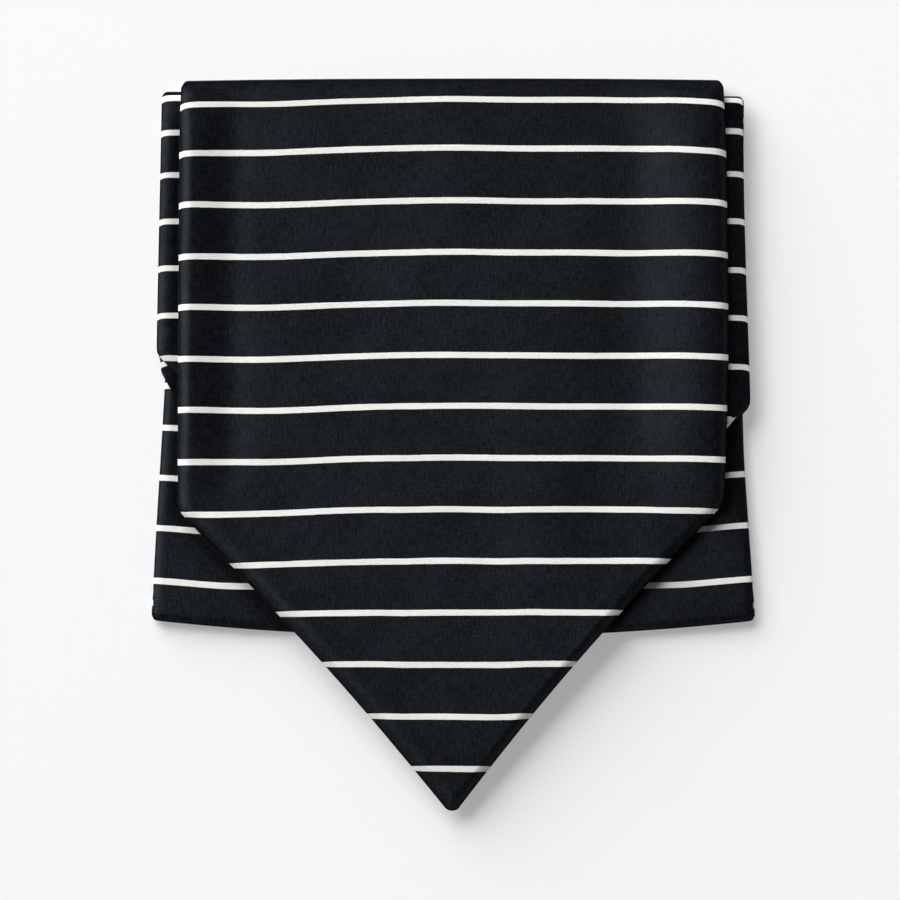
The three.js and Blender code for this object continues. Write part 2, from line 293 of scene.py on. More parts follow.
# Soft creases of the front blade: start, end, half width, height
FRONT_CREASES = [
    ((12.8, -5), (4.6, -74), 9.0, -0.32),
    ((48, 84), (47, 0), 5.0, -0.32),
    ((46.5, 6), (35, -24), 5.0, -0.22),
    ((28, -4), (24, -43), 6.0, 0.14),
    ((-58, -7), (-34, 12), 4.0, 0.16),
]
FRONT_WAVES = [(0.075, 42, 3), (0.03, 14, 5)]  # height, size, seed
DOME_HEIGHT = 0.45
DOME_WIDTH = 36.0
LEFT_VALLEY = (0.35, 14.0, 5.0)  # depth, distance in from the left side, half width
LEFT_VALLEY_FADE = ((-18.0, 6.0), (84.0, 96.0))  # y over which it begins and ends


def front_relief(x, y):
    """What the front blade's upper side adds to the packet's settled shape."""
    total = sum(height * soft_noise(x, y, size, seed) for height, size, seed in FRONT_WAVES)
    total = total + DOME_HEIGHT * np.exp(-0.5 * (x / DOME_WIDTH) ** 2)
    for start, end, width, height in FRONT_CREASES:
        total = total + crease(x, y, start, end, width, height)
    depth, place, width = LEFT_VALLEY
    inside = x - front_sides(y)[0]
    begin, end = LEFT_VALLEY_FADE
    along = smoothstep(y, *begin) * (1 - smoothstep(y, *end))
    return total - depth * along * np.exp(-(((inside - place) / width) ** 2))


# How the layers press on each other
# How far the front blade's rim hangs below its own middle and how far in that starts, along its sides and its point
SIDE_SAG, SIDE_SAG_REACH = 0.5, 3.9
POINT_SAG, POINT_SAG_REACH = 1.35, 4.8
RIGHT_SAG_LOSS, RIGHT_REACH_LOSS = 0.55, 1.9  # how much less of both the point's right side has
SAG_END_Y = (82.0, 95.0)
# The groove that the front blade's rim presses into the layers below: depth beside its sides and its point, width
GROOVES = [(1.3, 1.8, 2.0), (0.3, 1.6, 8.5)]
GROOVE_RIGHT_SHARE = 0.1
GROOVE_POINT_WIDER = 0.35
GROOVE_INSIDE = (3.0, 9.0)  # how far under the front blade the groove dies out
GROOVE_TOP_Z = (8.2, 9.0)  # layers above this aren't pressed
GROOVE_END_Y = (84.0, 93.0)
GROOVE_TOP_LOSS = 0.8
LOWER_TOP_Z = UNDER_BLADE_Z + LAYER / 2
SIDE_FALL = 1.6  # how far the packet falls away past the front blade's right side
SIDE_FALL_X = (-2.0, 6.5)  # measured out from that side
SIDE_FALL_Y = (-36.0, -12.0)  # it fades below this
SIDE_FALL_LOSS = 0.75
FOLD_FLATTEN = 0.6  # how far the top of the bottom fold is pressed down, and how far in that starts
FOLD_FLATTEN_REACH = 11.0
SETTLE_WAVE = (0.12, 90, 11)  # height, size, seed of the whole packet's unevenness


def rim_sag(x, y, depth):
    """How far the front blade's rim hangs down at a depth from its edge."""
    point = along_point(y)
    right = smoothstep(x, -1.0, 4.0)
    height = SIDE_SAG + (POINT_SAG - SIDE_SAG) * point * (1 - RIGHT_SAG_LOSS * right)
    reach = SIDE_SAG_REACH + (POINT_SAG_REACH - SIDE_SAG_REACH) * point - RIGHT_REACH_LOSS * point * right
    return height * np.clip(1 - depth / reach, 0, 1) ** 2 * (1 - smoothstep(y, *SAG_END_Y))


def groove(x, y, z):
    """How far the front blade's rim presses down the layers below it."""
    left, right = edges_at("front", FRONT_POINT, np.clip(y, FRONT_POINT["y"] + 4, 96.0))
    point = along_point(y)
    outside = np.maximum(left - x, x - right) / (1 + GROOVE_POINT_WIDER * point)
    beyond = 0.0
    for side_depth, point_depth, width in GROOVES:
        depth = side_depth + (point_depth - side_depth) * point
        beyond = beyond + depth * np.exp(-np.maximum(outside, 0) / width)
    beyond = beyond * (1 - smoothstep(-outside, *GROOVE_INSIDE))
    sided = np.where(x < 0, 1.0, GROOVE_RIGHT_SHARE)
    below = np.clip(z / LOWER_TOP_Z, 0, 1) * (1 - smoothstep(z, *GROOVE_TOP_Z))
    return beyond * sided * below * (1 - GROOVE_TOP_LOSS * smoothstep(y, *GROOVE_END_Y))


def settled(x, y, z, hangs):
    """Height of a place whose height in the flat packet is z. A blade's end hangs over the bottom fold."""
    fold_y = BOTTOM_AXIS_Y + fold_shift(BOTTOM_FOLD, x)
    inward = np.clip(1 - (y - fold_y) / FOLD_FLATTEN_REACH, 0, 1.15)
    low = np.clip(z / (MIDDLE_Z + LAYER / 2), 0, 1)
    if not hangs:
        z = z - FOLD_FLATTEN * inward**2 * low**1.5
    rise = (z / TOP_Z) * RIDGE_HEIGHT * ridge_share(x, y)
    height, size, seed = SETTLE_WAVE
    rise = rise + (z / TOP_Z) * height * soft_noise(x, y, size, seed) * smoothstep(z, 0.0, 4.0)
    outside = x - edges_at("front", None, y)[1]
    fall = SIDE_FALL * smoothstep(outside, *SIDE_FALL_X) * (1 - SIDE_FALL_LOSS * (1 - smoothstep(y, *SIDE_FALL_Y)))
    rise = rise - (z / TOP_Z) * fall
    past = np.maximum(DROOP_START_Y - y, 0) / DROOP_LENGTH
    return z + rise - (DROOP * past**2 if hangs else 0.0)


FRONT_BOW_CURVE = smooth_curve(SAMPLE_X, [r[0] for r in FRONT_BOW], [r[1] for r in FRONT_BOW], 5.0)
MIDDLE_BOW_CURVE = smooth_curve(SAMPLE_X, [r[0] for r in MIDDLE_BOW], [r[1] for r in MIDDLE_BOW], 3.0)


def front_phase(x, y):
    """Stripe number, whole on a stripe's middle, on the front blade."""
    bow = np.interp(x, SAMPLE_X, FRONT_BOW_CURVE) * by_table(y, FRONT_BOW_SHARES)
    left, right = edges_at("front", FRONT_POINT, np.maximum(y, -15.0))
    rim = np.minimum(x - left, right - x)
    bow = bow + np.exp(-np.maximum(rim, 0) / FRONT_RIM_REACH) * by_table(y, FRONT_RIM_BOW)
    wide = np.abs(x)
    flank = smoothstep(wide, 12.0, 22.0) * (1 - smoothstep(wide, 50.0, 60.0))
    bow = bow + UPPER_SIDE_BOW * smoothstep(wide, 58.0, 72.0) * smoothstep(y, 68.0, 76.0)
    bow = bow + LOWER_LEFT_BOW * smoothstep(-x, 56.0, 68.0) * (1 - smoothstep(y, -14.0, 2.0))
    bow = bow + LOWER_FLANK_BOW * flank * (1 - smoothstep(y, -16.0, 2.0))
    bow = bow + 0.05 * soft_noise(x, y, 35, 21)
    return table_phase([(height, height) for height in FRONT_STRIPES], x, y, bow)


def table_phase(rows, x, y, bow=0.0):
    """Stripe number, counting down from 0. Each row gives one stripe's y at the left and right edges."""
    share = np.clip((x + STRIPE_TABLE_HALF) / (2 * STRIPE_TABLE_HALF), 0, 1)
    flat_x, flat_y = np.ravel(share), np.ravel(y + bow)
    ys = np.array(rows, float)
    lines = ys[:, :1] * (1 - flat_x) + ys[:, 1:] * flat_x
    numbers = -np.arange(len(rows), dtype=float)
    above = numbers[0] + (flat_y - lines[0]) / STRIPE_PITCH
    below = numbers[-1] + (flat_y - lines[-1]) / STRIPE_PITCH
    result = np.where(flat_y > lines[0], above, below)
    for i in range(1, len(rows)):
        inside = (flat_y <= lines[i - 1]) & (flat_y > lines[i])
        step = (flat_y - lines[i]) / (lines[i - 1] - lines[i])
        result = np.where(inside, numbers[i] + step, result)
    return result.reshape(np.shape(y))


def middle_phase(x, y):
    left, right = edges_at("middle", None, y)
    rim = np.minimum(x - left, right - x)
    return table_phase(MIDDLE_STRIPES, x, y, np.interp(rim, SAMPLE_X, MIDDLE_BOW_CURVE))


def under_phase(x, y, lag=0.0):
    """Here the strip runs down, so the numbers go on rising from the middle layer's."""
    left, right = edges_at("under", None, y)
    rim = np.minimum(x - left, right - x)
    bow = UNDER_RIM_BOW * np.exp(-np.maximum(rim, 0) / UNDER_RIM_REACH)
    slant = (edges_at("under", UNDER_POINT_BACK, y)[1] - x) * SLANT_SHARE
    hook = sum(drop * (1 - smoothstep(slant, near, far)) for drop, near, far in HOOKS)
    bow = bow + hook * (1 - smoothstep(y, 9.5, 12.0))
    bow = bow + lag * (1 - smoothstep(x, -76.0, 60.0))
    if lag:
        rim = x - edges_at("under", UNDER_POINT_FACE, y)[0] - FACE_TUCK
        lobe = np.exp(-np.maximum(rim, 0) / LOBE_REACH) * (1 - smoothstep(np.abs(y - LOBE_Y), 5.0, 8.0))
        bow = bow + LOBE_BOW * lobe
    return 1 - table_phase(UNDER_BLADE_STRIPES, x, y, bow)


def phase_of(layer, x, y):
    """Stripe number on a flat run. The underside carries on round the folds from the layers above it."""
    if layer == "front":
        return front_phase(x, y)
    if layer == "middle":
        return middle_phase(x, y)
    if layer == "under":
        return under_phase(x, y)
    if layer == "under_face":
        return under_phase(x, y, FACE_STRIPE_LAG)
    if layer == "underside_front":
        start = OUTER_AXIS_Y + fold_shift(OUTER_TOP_FOLD, x)
        return front_phase(x, start) + OUTER_TURN + (start - y) / STRIPE_PITCH
    start = BOTTOM_AXIS_Y + fold_shift(BOTTOM_FOLD, x)
    return middle_phase(x, start) - BOTTOM_TURN - (y - start) / STRIPE_PITCH


def slimness(layer, x, y):
    """How many times slimmer than the middle of the front blade a stripe is."""
    if layer == "front":
        return 1 + 0.13 * smoothstep(y, 86.0, 92.0)
    if layer == "middle":
        return 1.02 + 0.05 * smoothstep(x, -20.0, 60.0) - 0.06 * (1 - smoothstep(y, -32.0, -26.0))
    return np.full(np.shape(x), 1.065)


def run(layer, ys, z, normal_z, point, shifts, hangs=False):
    """Stations of a flat stretch. shifts gives the folds, each with its share, whose shape the rows follow."""
    return [
        {
            "y": float(y), "z": z, "ny": 0.0, "nz": normal_z, "edges": layer.split("_")[0], "point": point,
            "pull": 0.0, "shifts": shifts(y), "phase": (layer, None, 0.0), "hangs": hangs,
        }
        for y in ys
    ]


def turn(fold, low_z, high_z, outward, face_out, axis_y, low, high):
    """Stations round a fold, from the layer below it to the layer above."""
    radius = (high_z - low_z) / 2
    power = 2 / fold["squareness"]
    stations = []
    for i in range(1, FOLD_STEPS):
        part = i * 2 / FOLD_STEPS
        share = part if part <= 1 else 2 - part
        angle = math.pi / 2 * share ** (1 / power)
        side = -1 if part <= 1 else 1  # below or above the fold's axis
        across, up = math.sin(angle) ** power, math.cos(angle) ** power * side
        out, rise = math.sin(angle) ** (2 - power), math.cos(angle) ** (2 - power) * side
        size = math.hypot(out, rise)
        stations.append({
            "y": axis_y + outward * radius * across,
            "z": (low_z + high_z) / 2 + radius * up,
            "ny": face_out * outward * out / size,
            "nz": face_out * rise / size,
            "edges": (low if i * 2 < FOLD_STEPS else high).split("_")[0],
            "point": None,
            "pull": fold["pull"] * (out / size) ** fold["pull_power"],
            "shifts": [(fold, 1.0)],
            "phase": (low, high, i / FOLD_STEPS),
            "axis_y": axis_y,
            "hangs": False,
        })
    return stations


def between(first, second):
    """The shape of one fold passes evenly into that of the other."""
    def shares(y):
        part = min(max((y - first["y"]) / (second["y"] - first["y"]), 0.0), 1.0)
        return [(first, 1 - part), (second, part)]

    return shares


def fading(fold, reach):
    """The shape of a fold dies out over a distance."""
    return lambda y: [(fold, min(max(1 - abs(fold["y"] - y) / reach, 0.0), 1.0))]


def spaced(start, stop, step):
    """Even places from start to stop, about a step apart."""
    count = max(int(round(abs(stop - start) / step)), 1)
    return np.linspace(start, stop, count + 1)


# Rows: distances above a tip's lowest place, distances from the seam, and the steps of the flat stretches
TIP_ROWS = np.array([2.9, 2.4, 1.95, 1.55, 1.2, 0.9, 0.64, 0.42, 0.25, 0.12, 0.04, 0.005])
TIP_ROWS_END = 3.5
SEAM_ROWS = np.array([0.02, 0.1, 0.25, 0.45, 0.7, 1.0, 1.35])
SEAM_ROWS_END = 2.2
FRONT_STEP, UNDER_STEP, MIDDLE_STEP, UNDERSIDE_STEP = 1.2, 1.4, 1.5, 1.4


def tip_rows(point, start, step):
    """Rows down a pointed end, close together round its tip."""
    low = tip_circle(point)[2]
    return np.concatenate([spaced(start, low + TIP_ROWS_END, step), low + TIP_ROWS])


def front_stations():
    underside = np.concatenate([SEAM_Y + SEAM_ROWS, spaced(SEAM_Y + SEAM_ROWS_END, OUTER_AXIS_Y, UNDERSIDE_STEP)])
    return [
        *run("underside_front", underside, UNDERSIDE_Z, -1.0, None, between(OUTER_TOP_FOLD, BOTTOM_FOLD)),
        *turn(OUTER_TOP_FOLD, UNDERSIDE_Z, FRONT_BLADE_Z, 1, 1, OUTER_AXIS_Y, "underside_front", "front"),
        *run("front", tip_rows(FRONT_POINT, OUTER_AXIS_Y, FRONT_STEP), FRONT_BLADE_Z, 1.0, FRONT_POINT,
             fading(OUTER_TOP_FOLD, FOLD_REACH), hangs=True),
    ]


def rear_stations(point, under):
    underside = np.concatenate([SEAM_Y - SEAM_ROWS, spaced(SEAM_Y - SEAM_ROWS_END, BOTTOM_AXIS_Y, MIDDLE_STEP)])
    return [
        *run("underside_rear", underside, UNDERSIDE_Z, -1.0, None, between(OUTER_TOP_FOLD, BOTTOM_FOLD)),
        *turn(BOTTOM_FOLD, UNDERSIDE_Z, MIDDLE_Z, -1, 1, BOTTOM_AXIS_Y, "underside_rear", "middle"),
        *run("middle", spaced(BOTTOM_AXIS_Y, INNER_AXIS_Y, MIDDLE_STEP), MIDDLE_Z, 1.0, None,
             between(BOTTOM_FOLD, INNER_TOP_FOLD)),
        *turn(INNER_TOP_FOLD, MIDDLE_Z, UNDER_BLADE_Z, 1, -1, INNER_AXIS_Y, "middle", under),
        *run(under, tip_rows(point, INNER_AXIS_Y, UNDER_STEP), UNDER_BLADE_Z, -1.0, point,
             fading(INNER_TOP_FOLD, FOLD_REACH), hangs=True),
    ]


# Columns: depths from one edge to the middle of a row 150 mm wide
RIM_COLUMNS = np.array([
    0, 0.05, 0.12, 0.22, 0.36, 0.54, 0.76, 1.02, 1.3, 1.65, 2.1, 2.7, 3.4, 4.2, 5.1, 6.1, 7.2, 8.4,
])
COLUMN_STEP = 1.35
WIDE_HALF = 75.0
HALF_COLUMNS = np.concatenate([
    RIM_COLUMNS, np.arange(RIM_COLUMNS[-1] + COLUMN_STEP, WIDE_HALF, COLUMN_STEP), [WIDE_HALF],
])
MOST_SPREAD, SPREAD_REACH = 5.5, 6.0  # how far a narrow row's rim columns keep their own spacing


def columns(left, right, lean):
    """Column places across one row, close together at its edges whatever its width."""
    half = (right - left) / 2
    share = half / WIDE_HALF
    spread = min(max(lean / max(share, 1e-6) - 1, 0), MOST_SPREAD)
    depths = HALF_COLUMNS * share * (1 + spread * np.exp(-HALF_COLUMNS / SPREAD_REACH))
    depths = depths * half / depths[-1]
    return np.concatenate([left + depths[:-1], (right - depths)[::-1]])


FOLD_FULNESS = 0.55  # how much of the edge's roll is lost round a fold
RIM_GAP = 0.03  # half the gap between the plies at their rim, which opens to PLY_GAP over RIM_GAP_REACH
RIM_GAP_REACH = 4.0
LEAST_SKIN = 0.08
MOST_LEAN = 1.5


def thickness_share(depth, turned):
    """How full a ply is at a depth from its edge. Round a fold it keeps its fulness further out."""
    inside = np.clip(depth / (EDGE_ROLL * (1 - FOLD_FULNESS * turned)), 0, 1)
    return np.maximum(EDGE_SHARE, np.sqrt(1 - (1 - inside) ** 2))


def station_shift(station, x):
    return sum(share * fold_shift(fold, x) for fold, share in station["shifts"])


def phase_at(station, x, y):
    """Stripe number at a station. Round a fold it runs evenly from one layer's to the next one's."""
    low, high, part = station["phase"]
    if high is None:
        return phase_of(low, x, y)
    axis = station["axis_y"] + station_shift(station, x)
    return phase_of(low, x, axis) * (1 - part) + phase_of(high, x, axis) * part


def row_across(station, inset):
    """Places across one row, y of the row there, and how deep each lies inside the ply's edge."""
    side_y = station["y"] + float(station_shift(station, FOLD_HALF_WIDTH))
    layer, point = station["phase"][0], station["point"]
    left, right = edges_at(station["edges"], point, side_y)
    lean = 1.0
    if point is not None:
        below = edges_at(station["edges"], point, side_y - 1)[0]
        lean = min(math.hypot(1, abs(below - left)), MOST_LEAN)
    draw = min(inset * lean, (right - left) / 4)
    tuck = FACE_TUCK * float(1 - smoothstep(side_y, *FACE_TUCK_Y)) if layer == "under_face" else 0.0
    left, right = left + station["pull"] + draw + tuck, right - station["pull"] - draw
    x = columns(left, right, lean)
    depth = np.minimum(x - left, right - x) / lean
    y_flat = station["y"] + station_shift(station, x)
    if point is not None:
        centre = tip_circle(point)[0]
        if side_y < centre + 1:
            round_depth = point["radius"] - inset - np.hypot(x - point["x"], y_flat - centre)
            depth = np.where(y_flat < centre, np.clip(round_depth, 0, depth + 9), depth)
    if layer.startswith("underside") and station["phase"][1] is None:
        depth = np.minimum(depth, abs(station["y"] - SEAM_Y))
    return x, y_flat, depth


def ply(name, stations, side, inset, relief=None):
    """One ply as a closed skin with rolled edges. side is 1 for the face ply and -1 for the back ply."""
    xs, grid, phases, strip, slim = [], [], [], [], []
    length, previous = 0.0, None
    for station in stations:
        x, y_flat, depth = row_across(station, inset)
        near = side * (RIM_GAP + (PLY_GAP / 2 - RIM_GAP) * smoothstep(depth, 0, RIM_GAP_REACH))
        far = side * PLY_GAP / 2 + side * PLY * thickness_share(depth, abs(station["ny"]))
        far = np.where(np.abs(far) < np.abs(near) + LEAST_SKIN, near + side * LEAST_SKIN, far)
        rows = []
        on_top = station["phase"][:2] == ("front", None)
        sag = rim_sag(x, y_flat, depth) if on_top else 0.0
        for offset in (far, near):
            y = y_flat + offset * station["ny"]
            level = station["z"] + offset * station["nz"]
            z = settled(x, y, level, station["hangs"]) - (sag if on_top else groove(x, y, level))
            if relief is not None and offset is far:
                z = z + relief(station, x, y, depth)
            rows.append(np.stack([x, y, z], axis=1))
        here = np.array([station["y"], station["z"]])
        if previous is not None:
            length += float(np.hypot(*(here - previous)))
        previous = here
        grid.append(rows)
        phases.append(phase_at(station, x, y_flat))
        slim.append(slimness(station["edges"], x, y_flat))
        strip.append(np.full(len(x), length))
        xs.append(x)
    return build_mesh(name, *map(np.array, (grid, phases, slim, strip, xs)))


def build_mesh(name, grid, phases, slim, strip, xs):
    """A ply's object. grid is rows x 2 skins x columns x 3, and the rest is rows x columns."""
    rows, _, cols, _ = grid.shape
    number = np.arange(rows * 2 * cols).reshape(rows, 2, cols)
    outer, inner = number[:, 0, :], number[:, 1, :]

    def quads(a, b, c, d):
        return np.stack([a.ravel(), b.ravel(), c.ravel(), d.ravel()], axis=1)

    faces = [
        quads(outer[:-1, :-1], outer[:-1, 1:], outer[1:, 1:], outer[1:, :-1]),
        quads(inner[:-1, :-1], inner[1:, :-1], inner[1:, 1:], inner[:-1, 1:]),
        quads(outer[:-1, 0], outer[1:, 0], inner[1:, 0], inner[:-1, 0]),
        quads(outer[:-1, -1], inner[:-1, -1], inner[1:, -1], outer[1:, -1]),
        quads(outer[0, :-1], inner[0, :-1], inner[0, 1:], outer[0, 1:]),
        quads(outer[-1, :-1], outer[-1, 1:], inner[-1, 1:], inner[-1, :-1]),
    ]
    faces = np.concatenate(faces)
    points = grid.reshape(-1, 3)
    a, b, c, d = (points[faces[:, i]] for i in range(4))
    volume = (a * np.cross(b, c)).sum() + (a * np.cross(c, d)).sum()
    if volume < 0:
        faces = faces[:, ::-1]
    mesh = bpy.data.meshes.new(name)
    world = points * MM
    world[:, 1] += FRAME_SHIFT_Y * MM
    mesh.from_pydata(world.tolist(), [], faces.tolist())
    mesh.update()

    def both(values):
        return np.repeat(values[:, None, :], 2, axis=1).ravel()

    corner = np.zeros(len(mesh.loops), np.int32)
    mesh.loops.foreach_get("vertex_index", corner)
    for layer, u, v in (
        ("cloth", both(xs) / CLOTH_UV, both(strip) / CLOTH_UV),
        ("stripes", both(phases), both(phase_rate(grid[:, 0], phases) / slim)),
    ):
        uv = mesh.uv_layers.new(name=layer)
        uv.data.foreach_set("uv", np.stack([u[corner], v[corner]], axis=1).astype(np.float32).ravel())
    mesh.shade_smooth()
    piece = bpy.data.objects.new(name, mesh)
    bpy.context.scene.collection.objects.link(piece)
    return piece


LEAST_RATE, MOST_RATE = 0.03, 0.2


def phase_rate(skin, phases):
    """Stripes per millimetre across the stripes, from the skin's own slopes."""
    down, across = np.gradient(skin, axis=0), np.gradient(skin, axis=1)
    e, f, g = (down * down).sum(2), (down * across).sum(2), (across * across).sum(2)
    p, q = np.gradient(phases, axis=0), np.gradient(phases, axis=1)
    area = np.maximum(e * g - f * f, 1e-9)
    return np.sqrt(np.clip((p * p * g - 2 * p * q * f + q * q * e) / area, LEAST_RATE**2, MOST_RATE**2))


def top_relief(station, x, y, depth):
    """What the skins that show from above add to the settled shape."""
    if station["edges"] == "front" and station["nz"] > 0:
        return front_relief(x, y) * smoothstep(depth, 0.0, 3.0)
    if station["edges"] == "middle" and station["nz"] > 0 or station["edges"] == "under":
        return 0.03 * soft_noise(x, y, 16, 7) * smoothstep(depth, 0.0, 2.0)
    return np.zeros(len(x))


# ---------------------------------------------------------------- materials
CLOTH_UV = 100.0  # millimetres of cloth to one unit of the "cloth" map
STRIPE_RIM = (0.77, 0.88)  # where a stripe ends, measured from its middle
WARP_PITCH, WEFT_PITCH, THREAD_PITCH = 0.42, 0.36, 0.46
GLOSS = 0.30
EDGE_GLOSS_SHARE = 0.06  # what is left of the gloss where the cloth is seen at a slant


class Nodes:
    """A short way to write a material's node tree."""

    def __init__(self, name):
        self.material = bpy.data.materials.new(name)
        self.material.use_nodes = True
        self.tree = self.material.node_tree
        self.tree.nodes.clear()

    def add(self, kind, inputs=None, **settings):
        node = self.tree.nodes.new(kind)
        for key, value in settings.items():
            setattr(node, key, value)
        for key, value in (inputs or {}).items():
            self.put(node.inputs[key], value)
        return node

    def put(self, socket, value):
        if isinstance(value, bpy.types.NodeSocket):
            self.tree.links.new(value, socket)
        else:
            socket.default_value = value

    def math(self, operation, a, b=0.0, c=0.0):
        node = self.add("ShaderNodeMath", operation=operation)
        for socket, value in zip(node.inputs, (a, b, c)):
            self.put(socket, value)
        return node.outputs[0]

    def ramp(self, value, low, high, to_low=0.0, to_high=1.0, smooth=True):
        node = self.add(
            "ShaderNodeMapRange",
            interpolation_type="SMOOTHSTEP" if smooth else "LINEAR",
            inputs={"Value": value, "From Min": low, "From Max": high, "To Min": to_low, "To Max": to_high},
        )
        return node.outputs[0]

    def mix(self, factor, a, b):
        node = self.add("ShaderNodeMix", data_type="RGBA")
        self.put(node.inputs[0], factor)
        self.put(node.inputs[6], a)
        self.put(node.inputs[7], b)
        return node.outputs[2]

    def noise(self, vector, scale, stretch, detail=2.0, rough=0.5):
        mapping = self.add("ShaderNodeMapping", inputs={"Vector": vector, "Scale": stretch})
        node = self.add(
            "ShaderNodeTexNoise",
            noise_dimensions="2D",
            inputs={"Vector": mapping.outputs[0], "Scale": scale, "Detail": detail, "Roughness": rough},
        )
        return node.outputs["Fac"]


def silk(name, ground, stripe):
    """Dark silk with pale woven stripes. A noise's stretch is its waves to a millimetre of cloth."""
    n = Nodes(name)
    cloth = n.add("ShaderNodeUVMap", uv_map="cloth").outputs[0]
    stripes = n.add("ShaderNodeUVMap", uv_map="stripes").outputs[0]
    parts = n.add("ShaderNodeSeparateXYZ", inputs={0: stripes})
    phase, rate = parts.outputs[0], parts.outputs[1]
    flat = n.add("ShaderNodeSeparateXYZ", inputs={0: cloth})
    across, along = flat.outputs[0], flat.outputs[1]

    # Signed distance from the nearest stripe's middle
    part = n.math("FRACT", n.math("ADD", phase, 0.5))
    signed = n.math("DIVIDE", n.math("SUBTRACT", part, 0.5), n.math("MAXIMUM", rate, LEAST_RATE))
    ragged = n.noise(cloth, CLOTH_UV, (4.0, 0.6, 1.0), 2.0, 0.6)
    wander = n.noise(cloth, CLOTH_UV, (0.12, 0.12, 1.0), 2.0, 0.5)
    distance = n.math("ADD", n.math("ABSOLUTE", signed), n.math("MULTIPLY_ADD", ragged, 0.16, -0.08))
    distance = n.math("ADD", distance, n.math("MULTIPLY_ADD", wander, 0.14, -0.07))
    mask = n.ramp(distance, *STRIPE_RIM, 1.0, 0.0)

    # Yarns: fine ribs along and across the cloth, and the slubs of single yarns
    warp = n.math("SINE", n.math("MULTIPLY", across, 2 * math.pi * CLOTH_UV / WARP_PITCH))
    weft = n.math("SINE", n.math("MULTIPLY", along, 2 * math.pi * CLOTH_UV / WEFT_PITCH))
    weave = n.math("MULTIPLY", warp, weft)
    slub_up = n.noise(cloth, CLOTH_UV, (2.3, 0.4, 1.0), 2.0, 0.6)
    slub_across = n.noise(cloth, CLOTH_UV, (0.4, 2.3, 1.0), 2.0, 0.6)
    grain = n.noise(cloth, CLOTH_UV, (1.6, 1.6, 1.0), 3.0, 0.7)
    mottle = n.noise(cloth, CLOTH_UV, (0.22, 0.22, 1.0), 3.0, 0.6)
    cloud = n.noise(cloth, CLOTH_UV, (0.045, 0.045, 1.0), 2.0, 0.5)

    yarn = n.math("ADD", n.math("MULTIPLY", slub_up, 0.4), n.math("MULTIPLY", slub_across, 0.25))
    yarn = n.math("ADD", yarn, n.math("MULTIPLY", grain, 0.35))
    tone = n.ramp(yarn, 0.3, 0.7, 0.3, 1.7, smooth=False)
    tone = n.math("ADD", tone, n.ramp(mottle, 0.3, 0.7, -0.12, 0.12))
    tone = n.math("ADD", tone, n.ramp(cloud, 0.3, 0.7, -0.10, 0.10))
    dark = n.add("ShaderNodeVectorMath", operation="SCALE", inputs={0: ground})
    n.put(dark.inputs["Scale"], tone)

    # Lengthwise threads of the stripe
    thread = n.math("SINE", n.math("MULTIPLY", signed, 2 * math.pi / THREAD_PITCH))
    thread = n.math("MULTIPLY_ADD", thread, 0.5, 0.5)
    fibres = n.noise(cloth, CLOTH_UV, (0.7, 5.0, 1.0), 3.0, 0.6)
    light = n.math("ADD", n.ramp(fibres, 0.25, 0.75, 0.84, 0.97), n.math("MULTIPLY", thread, 0.10))
    pale = n.add("ShaderNodeVectorMath", operation="SCALE", inputs={0: stripe})
    n.put(pale.inputs["Scale"], light)
    colour = n.mix(mask, dark.outputs[0], pale.outputs[0])

    relief = n.math("ADD", n.math("MULTIPLY", weave, 0.12), n.math("MULTIPLY", yarn, 1.6))
    raised = n.math("ADD", n.math("MULTIPLY", thread, 0.25), n.math("MULTIPLY", fibres, 0.5))
    raised = n.math("ADD", raised, 0.7)
    surface = n.math("MULTIPLY", relief, n.math("SUBTRACT", 1.0, mask))
    surface = n.math("ADD", surface, n.math("MULTIPLY", raised, mask))
    bump = n.add("ShaderNodeBump", inputs={"Strength": 0.9, "Distance": 0.07 * MM, "Height": surface})

    rough = n.ramp(yarn, 0.3, 0.7, 0.44, 0.63)
    rough = n.math("ADD", rough, n.math("MULTIPLY", mask, 0.15))
    shader = n.add(
        "ShaderNodeBsdfPrincipled",
        inputs={
            "Base Color": colour,
            "Roughness": rough,
            "Normal": bump.outputs[0],
            "IOR": 1.45,
            "Specular IOR Level": GLOSS,
            "Specular Tint": (0.715, 0.84, 1.0, 1.0),
        },
    )
    out = n.add("ShaderNodeOutputMaterial")
    n.put(out.inputs["Surface"], shader.outputs[0])
    facing = n.add("ShaderNodeLayerWeight", inputs={"Blend": 0.5}).outputs["Facing"]
    gloss = n.ramp(facing, 0.1, 0.5, GLOSS, EDGE_GLOSS_SHARE * GLOSS)
    speckle = n.ramp(yarn, 0.36, 0.64, 0.53, 1.47, smooth=False)
    speckle = n.math("ADD", speckle, n.ramp(mottle, 0.3, 0.7, -0.06, 0.06))
    speckle = n.math("ADD", speckle, n.ramp(cloud, 0.3, 0.7, -0.07, 0.07))
    n.put(shader.inputs["Specular IOR Level"], n.math("MULTIPLY", gloss, speckle))
    return n.material


BLACK = (0.0012, 0.0015, 0.0022)
FACE_SILK = silk("face_silk", BLACK, (0.952, 0.946, 0.918))
BACK_SILK = silk("back_silk", BLACK, (0.92, 0.915, 0.89))

# ---------------------------------------------------------------- the tie
front = front_stations()
rear_face = rear_stations(UNDER_POINT_FACE, "under_face")
rear_back = rear_stations(UNDER_POINT_BACK, "under")
pieces = {
    "front_blade_face": ply("silk_front_face", front, 1, FACE_INSET, top_relief),
    "front_blade_back": ply("silk_front_back", front, -1, 0.0),
    "rear_blade_face": ply("silk_rear_face", rear_face, 1, FACE_INSET, top_relief),
    "rear_blade_back": ply("silk_rear_back", rear_back, -1, 0.0, top_relief),
}
for node, piece in pieces.items():
    face = node.endswith("face")
    piece.data.materials.append(FACE_SILK if face else BACK_SILK)
    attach(piece, "root")
    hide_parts(node)

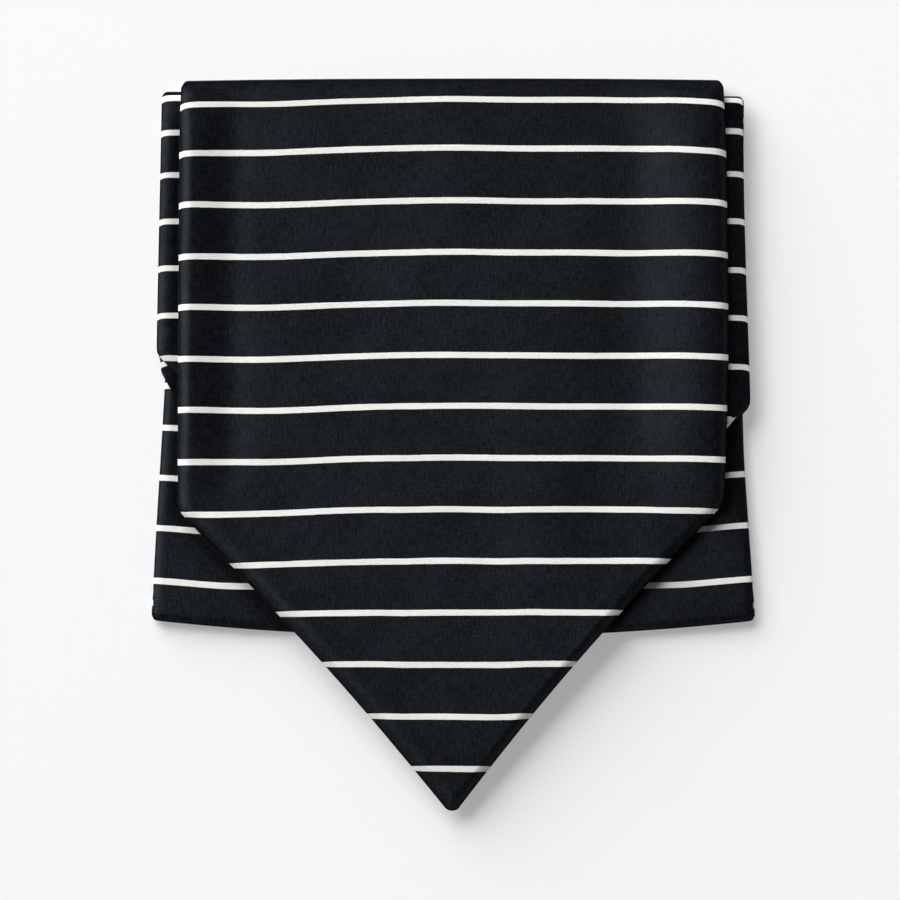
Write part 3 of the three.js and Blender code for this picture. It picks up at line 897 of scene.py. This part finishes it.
# ---------------------------------------------------------------- floor, light and camera
FLOOR_HALF = 6.0
floor_mesh = bpy.data.meshes.new("floor")
corners = [(sx * FLOOR_HALF, sy * FLOOR_HALF, 0) for sx, sy in ((-1, -1), (1, -1), (1, 1), (-1, 1))]
floor_mesh.from_pydata(corners, [], [(0, 1, 2, 3)])
floor = bpy.data.objects.new("floor", floor_mesh)
bpy.context.scene.collection.objects.link(floor)
paper = Nodes("paper")
coordinates = paper.add("ShaderNodeTexCoord").outputs["Object"]
fine = paper.noise(coordinates, 900.0, (1.0, 1.0, 1.0), 2.0, 0.6)
pale = paper.mix(fine, (0.63, 0.636, 0.648, 1.0), (0.66, 0.666, 0.678, 1.0))
coat = paper.add("ShaderNodeBsdfPrincipled", inputs={
    "Base Color": pale, "Roughness": 0.9, "Specular IOR Level": 0.1,
    "Emission Color": (0.98, 0.99, 1.0, 1.0), "Emission Strength": 0.33,
})
paper.put(paper.add("ShaderNodeOutputMaterial").inputs["Surface"], coat.outputs[0])
floor_mesh.materials.append(paper.material)

scene = bpy.context.scene
world = bpy.data.worlds.new("room")
scene.world = world
world.use_nodes = True
sky = world.node_tree
direction = sky.nodes.new("ShaderNodeTexCoord").outputs["Generated"]
split = sky.nodes.new("ShaderNodeSeparateXYZ")
sky.links.new(direction, split.inputs[0])
level = sky.nodes.new("ShaderNodeMapRange")
for socket, value in (("From Min", 0.0), ("From Max", 0.9), ("To Min", 0.17), ("To Max", 0.05)):
    level.inputs[socket].default_value = value
sky.links.new(split.outputs[2], level.inputs["Value"])
sky.nodes["Background"].inputs["Color"].default_value = (0.96, 0.98, 1.0, 1.0)
sky.links.new(level.outputs[0], sky.nodes["Background"].inputs["Strength"])


LAMP_COLOUR = (1.0, 0.995, 0.985)


def softbox(name, place, size, power):
    """A rectangular lamp that looks at the middle of the floor."""
    light = bpy.data.lights.new(name, "AREA")
    light.shape = "RECTANGLE"
    light.size, light.size_y = size
    light.energy = power
    light.color = LAMP_COLOUR
    lamp = bpy.data.objects.new(name, light)
    lamp.location = place
    scene.collection.objects.link(lamp)
    aim = bpy.data.objects.new(name + "_aim", None)
    scene.collection.objects.link(aim)
    track = lamp.constraints.new("TRACK_TO")
    track.target = aim
    track.track_axis, track.up_axis = "TRACK_NEGATIVE_Z", "UP_Y"
    return lamp


# The key lights the floor and the white threads. The sheen of the silk comes from the side.
key = softbox("key", (-3.8, 5.4, 4.06), (7.6, 7.6), 1275.0)
key.visible_glossy = False
side = softbox("side", (-4.14, 0.78, 4.35), (5.4, 4.5), 475.0)
side.visible_diffuse = False

# The photo is 900 pixels across, at 0.2745 mm a pixel, and its middle lies a little off the tie's own.
CAMERA_HEIGHT = 4.0
CAMERA_X, CAMERA_Y = -0.89, -1.54
SENSOR = 36.0
PHOTO_WIDTH = 900 * 0.2745 * MM
VIEW_LEVEL = 8.0 * MM  # the height at which that scale holds
camera_data = bpy.data.cameras.new("camera")
camera_data.sensor_width = SENSOR
camera_data.lens = SENSOR * (CAMERA_HEIGHT - VIEW_LEVEL) / PHOTO_WIDTH
camera = bpy.data.objects.new("camera", camera_data)
camera.location = (CAMERA_X * MM, (CAMERA_Y + FRAME_SHIFT_Y) * MM, CAMERA_HEIGHT)
scene.collection.objects.link(camera)
scene.camera = camera

scene.view_settings.view_transform = "Standard"
scene.view_settings.look = "None"
